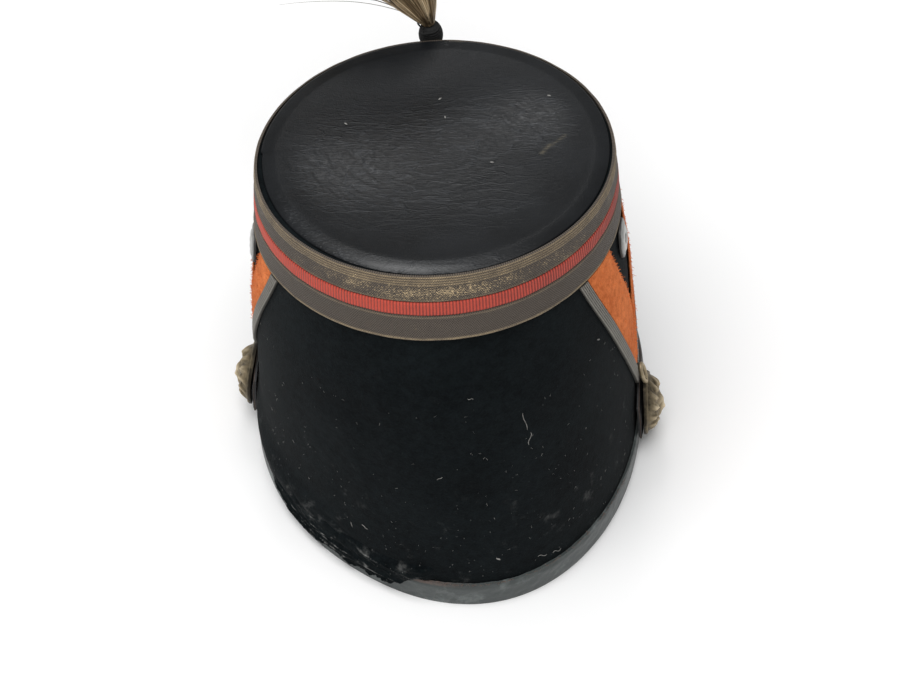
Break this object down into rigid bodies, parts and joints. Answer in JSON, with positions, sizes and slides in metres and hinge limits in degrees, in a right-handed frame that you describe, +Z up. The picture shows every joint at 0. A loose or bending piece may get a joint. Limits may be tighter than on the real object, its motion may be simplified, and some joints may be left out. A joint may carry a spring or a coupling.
{
  "type": "shako hat",
  "caption": "Tapering black felt shako with leather crown, lace with a red stripe, side chevrons, lion bosses, peak, chin strap and horsehair plume",
  "frame": {"origin": "middle of the hat's bounding box, on the surface that it stands on", "axes": "+Z up, -Y the front of the hat, +X the wearer's left"},
  "size_m": [0.1888, 0.2836, 0.2129],
  "materials": {
    "felt": "brushed black wool felt, dusty near the base",
    "crown_leather": "waxed black leather, satin, finely crumpled",
    "band_leather": "worn black leather, satin",
    "strap_leather": "black leather, satin",
    "lace": "woven metallic lace, tarnished brown-grey with gold wear",
    "red_ribbon": "red ribbed ribbon, matt",
    "orange_felt": "orange wool felt, matt",
    "grey_braid": "ribbed grey braid, slight metallic sheen",
    "aged_brass": "aged dull brass",
    "white_metal": "dull tinned metal",
    "horsehair": "pale horsehair with dark strands",
    "black_thread": "waxed black binding thread"
  },
  "bodies": {
    "root": {"body": "felt", "crown_top": "crown_leather", "lace_upper": "lace", "red_stripe": "red_ribbon", "lace_lower": "lace", "base_band": "band_leather", "chin_strap": "strap_leather", "peak": "strap_leather", "plume": "horsehair", "plume_knot": "black_thread", "plume_socket": "strap_leather", "chevron_right_rear": "orange_felt", "braid_right_rear": "grey_braid", "chevron_right_front": "orange_felt", "braid_right_front": "grey_braid", "vent_right": "white_metal", "boss_right": "aged_brass", "chevron_left_rear": "orange_felt", "braid_left_rear": "grey_braid", "chevron_left_front": "orange_felt", "braid_left_front": "grey_braid", "vent_left": "white_metal", "boss_left": "aged_brass"}
  },
  "joints": []
}
